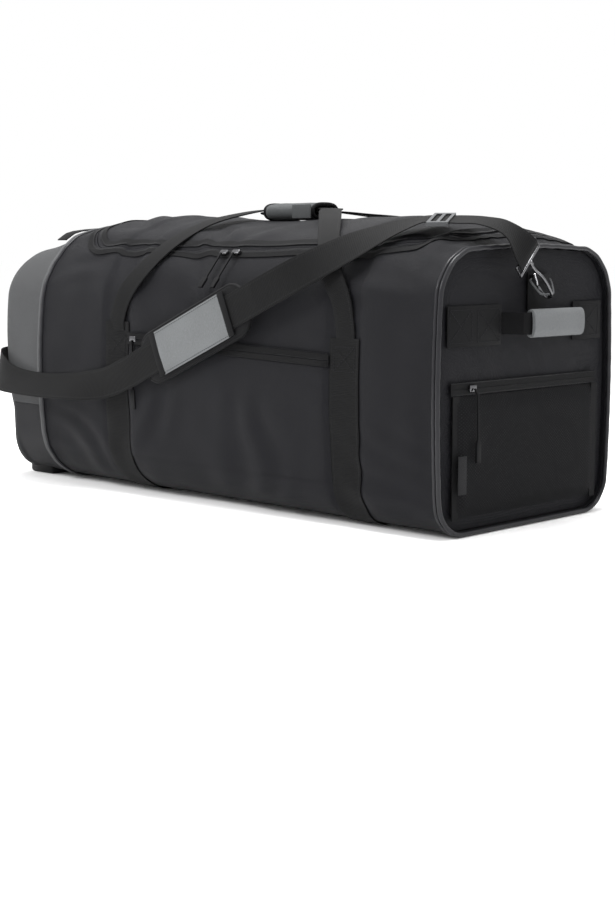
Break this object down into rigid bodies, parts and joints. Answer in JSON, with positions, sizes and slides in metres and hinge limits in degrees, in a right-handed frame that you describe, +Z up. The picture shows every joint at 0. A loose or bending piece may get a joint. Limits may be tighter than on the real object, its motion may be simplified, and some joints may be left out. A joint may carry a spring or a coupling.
{
  "type": "rolling duffel bag",
  "caption": "Packed wheeled duffel bag with a U-shaped zipped lid, carry handles joined by a wrap, padded shoulder strap on snap hooks, and inset wheels.",
  "frame": {"origin": "middle of the underside of the bottom panel, on the ground", "axes": "+X along the bag towards the end with the mesh pocket, +Y towards the lid's hinge side, +Z up"},
  "size_m": [1.0454, 0.4622, 0.4572],
  "materials": {
    "steel": "plain",
    "board": "stiff board",
    "base_panel": "coated tarpaulin",
    "wrap_gray": "gray lining",
    "webbing": "flat webbing",
    "pull_cord": "cord with a moulded end",
    "slider_metal": "black nickel",
    "zip_tape": "coil zip",
    "pocket_cloth": "woven ripstop polyester",
    "hook_metal": "gunmetal",
    "wheel_plastic": "moulded nylon",
    "lid_black": "woven ripstop polyester",
    "ripstop_black": "woven ripstop polyester",
    "end_cloth": "woven ripstop polyester",
    "piping_black": "smooth cord",
    "pocket_mesh": "diamond mesh",
    "patch_gray": "gray ribbed weave",
    "ring_plastic": "gray moulded",
    "pad_cloth": "padded mesh",
    "label": "plain woven tab",
    "buckle_plastic": "gray moulded",
    "wheel_rubber": "moulded tread",
    "base_cloth": "coated weave",
    "melange_gray": "gray melange weave",
    "piping_gray": "gray cord"
  },
  "bodies": {
    "bag": {"main_shell": "ripstop_black", "main_zip": "zip_tape", "wheel_end_cap": "melange_gray", "wheel_end_base": "base_cloth", "mesh_end_panel": "end_cloth", "mesh_pocket": "pocket_mesh", "mesh_end_piping": "piping_black", "wheel_end_piping": "piping_gray", "end_board": "board", "bottom_panel": "base_panel", "base_board": "board", "wheel_housing_front": "wheel_plastic", "wheel_housing_back": "wheel_plastic", "axle_front": "steel", "axle_back": "steel", "housing_rivet_front": "steel", "housing_rivet_back": "steel", "webbing_left": "webbing", "webbing_right": "webbing", "front_pocket": "pocket_cloth", "front_zip": "zip_tape", "end_zip": "zip_tape", "end_handle_webbing": "webbing", "end_handle_grip": "wrap_gray", "handle_anchor_left": "webbing", "handle_anchor_right": "webbing", "side_label": "label", "wheel_end_loop": "webbing", "ring_tab_pocket_end": "webbing", "ring_tab_wheel_end": "webbing"},
    "lid": {"lid_flap": "lid_black", "lid_zip": "zip_tape"},
    "front_handle": {"handle_front": "webbing", "handle_wrap": "wrap_gray"},
    "flap": {"wrap_flap": "wrap_gray"},
    "back_handle": {"handle_back": "webbing"},
    "wheel_front": {"tyre_front": "wheel_rubber", "hub_front": "wheel_plastic"},
    "wheel_back": {"tyre_back": "wheel_rubber", "hub_back": "wheel_plastic"},
    "slider_left": {"main_slider_left": "slider_metal"},
    "slider_right": {"main_slider_right": "slider_metal"},
    "pull_left": {"main_pull_left": "pull_cord"},
    "pull_right": {"main_pull_right": "pull_cord"},
    "pocket_slider": {"front_slider": "slider_metal"},
    "pocket_pull": {"front_pull": "pull_cord"},
    "mesh_slider": {"end_slider": "slider_metal"},
    "mesh_pull": {"end_pull": "pull_cord"},
    "hook_set_pocket_end": {"ring_pocket_end": "ring_plastic", "hook_pocket_end": "hook_metal", "hook_eye_pocket_end": "hook_metal"},
    "hook_set_wheel_end": {"ring_wheel_end": "ring_plastic", "hook_wheel_end": "hook_metal", "hook_eye_wheel_end": "hook_metal"},
    "gate_pocket_end": {"hook_gate_pocket_end": "hook_metal"},
    "gate_wheel_end": {"hook_gate_wheel_end": "hook_metal"},
    "strap": {"shoulder_strap": "webbing"},
    "pad": {"shoulder_pad": "pad_cloth", "pad_patch": "patch_gray"},
    "buckle": {"strap_adjuster": "buckle_plastic"}
  },
  "joints": [
    {"name": "lid_open", "type": "hinge", "parent": "bag", "child": "lid", "pos_m": [0, 0.1492, 0.39696], "axis": [-1, 0, 0], "range_deg": [0, 100]},
    {"name": "handle_front_swing", "type": "hinge", "parent": "bag", "child": "front_handle", "pos_m": [0, -0.2015, 0.2765], "axis": [1, 0, 0], "range_deg": [0, 165], "deforming": ["handle_front", "handle_wrap", "wrap_flap"]},
    {"name": "handle_back_swing", "type": "hinge", "parent": "bag", "child": "back_handle", "pos_m": [0, 0.2015, 0.2765], "axis": [-1, 0, 0], "range_deg": [0, 165], "deforming": ["handle_back"]},
    {"name": "wrap_flap_open", "type": "hinge", "parent": "front_handle", "child": "flap", "pos_m": [0.044, -0.031, 0.4545], "axis": [-1, 0, 0], "range_deg": [0, 100]},
    {"name": "strap_swing", "type": "hinge", "parent": "bag", "child": "strap", "pos_m": [0, 0.003, 0.335], "axis": [-1, 0, 0], "range_deg": [0, 95], "deforming": ["shoulder_strap", "strap_adjuster"]},
    {"name": "wheel_spin_front", "type": "hinge", "parent": "bag", "child": "wheel_front", "pos_m": [-0.494, -0.124, 0.0276], "axis": [0, 1, 0], "continuous": true},
    {"name": "wheel_spin_back", "type": "hinge", "parent": "bag", "child": "wheel_back", "pos_m": [-0.494, 0.124, 0.0276], "axis": [0, 1, 0], "continuous": true},
    {"name": "main_slider_left_run", "type": "slide", "parent": "bag", "child": "slider_left", "axis": [-1, 0, 0], "range_m": [0, 0.24]},
    {"name": "main_slider_right_run", "type": "slide", "parent": "bag", "child": "slider_right", "axis": [0.9999, 0, 0.0148], "range_m": [0, 0.24]},
    {"name": "main_pull_left_lift", "type": "hinge", "parent": "slider_left", "child": "pull_left", "pos_m": [0.01791, -0.17622, 0.38111], "axis": [-1, 0, 0], "range_deg": [0, 100]},
    {"name": "main_pull_right_lift", "type": "hinge", "parent": "slider_right", "child": "pull_right", "pos_m": [0.04391, -0.17622, 0.38148], "axis": [-1, 0, 0], "range_deg": [0, 100]},
    {"name": "front_slider_run", "type": "slide", "parent": "bag", "child": "pocket_slider", "axis": [0.9993, 0.0092, -0.035], "range_m": [0, 0.36]},
    {"name": "front_pull_lift", "type": "hinge", "parent": "pocket_slider", "child": "pocket_pull", "pos_m": [-0.15, -0.21173, 0.24525], "axis": [-1, 0, 0], "range_deg": [0, 90]},
    {"name": "end_slider_run", "type": "slide", "parent": "bag", "child": "mesh_slider", "axis": [0, 1, 0], "range_m": [0, 0.27]},
    {"name": "end_pull_lift", "type": "hinge", "parent": "mesh_slider", "child": "mesh_pull", "pos_m": [0.4589, -0.124, 0.201], "axis": [0, -1, 0], "range_deg": [0, 90]},
    {"name": "ring_swing_pocket_end", "type": "hinge", "parent": "bag", "child": "hook_set_pocket_end", "pos_m": [0.4553, 0.022, 0.347], "axis": [0, -1, 0], "range_deg": [-6, 6]},
    {"name": "ring_swing_wheel_end", "type": "hinge", "parent": "bag", "child": "hook_set_wheel_end", "pos_m": [-0.5257, 0, 0.305], "axis": [0, 1, 0], "range_deg": [0, 40]},
    {"name": "gate_press_pocket_end", "type": "hinge", "parent": "hook_set_pocket_end", "child": "gate_pocket_end", "pos_m": [0.46847, -0.00727, 0.35296], "axis": [0, -0.7021, -0.7121], "range_deg": [0, 18], "stiffness_Nm_per_rad": 0.02},
    {"name": "gate_press_wheel_end", "type": "hinge", "parent": "hook_set_wheel_end", "child": "gate_wheel_end", "pos_m": [-0.53887, -0.03218, 0.25652], "axis": [0, -0.6222, 0.7828], "range_deg": [0, 18], "stiffness_Nm_per_rad": 0.02},
    {"name": "buckle_slide", "type": "slide", "parent": "strap", "child": "buckle", "axis": [-0.8786, -0.4775, 0], "range_m": [-0.01, 0.01]},
    {"name": "pad_slide", "type": "slide", "parent": "strap", "child": "pad", "axis": [-0.9185, 0, -0.3955], "range_m": [-0.015, 0.015]}
  ],
  "couplings": [
    {"joint": "handle_front_swing", "follows": "lid_open", "ratio": 1.65},
    {"joint": "handle_back_swing", "follows": "lid_open", "ratio": 1.65},
    {"joint": "strap_swing", "follows": "lid_open", "ratio": 0.95}
  ]
}
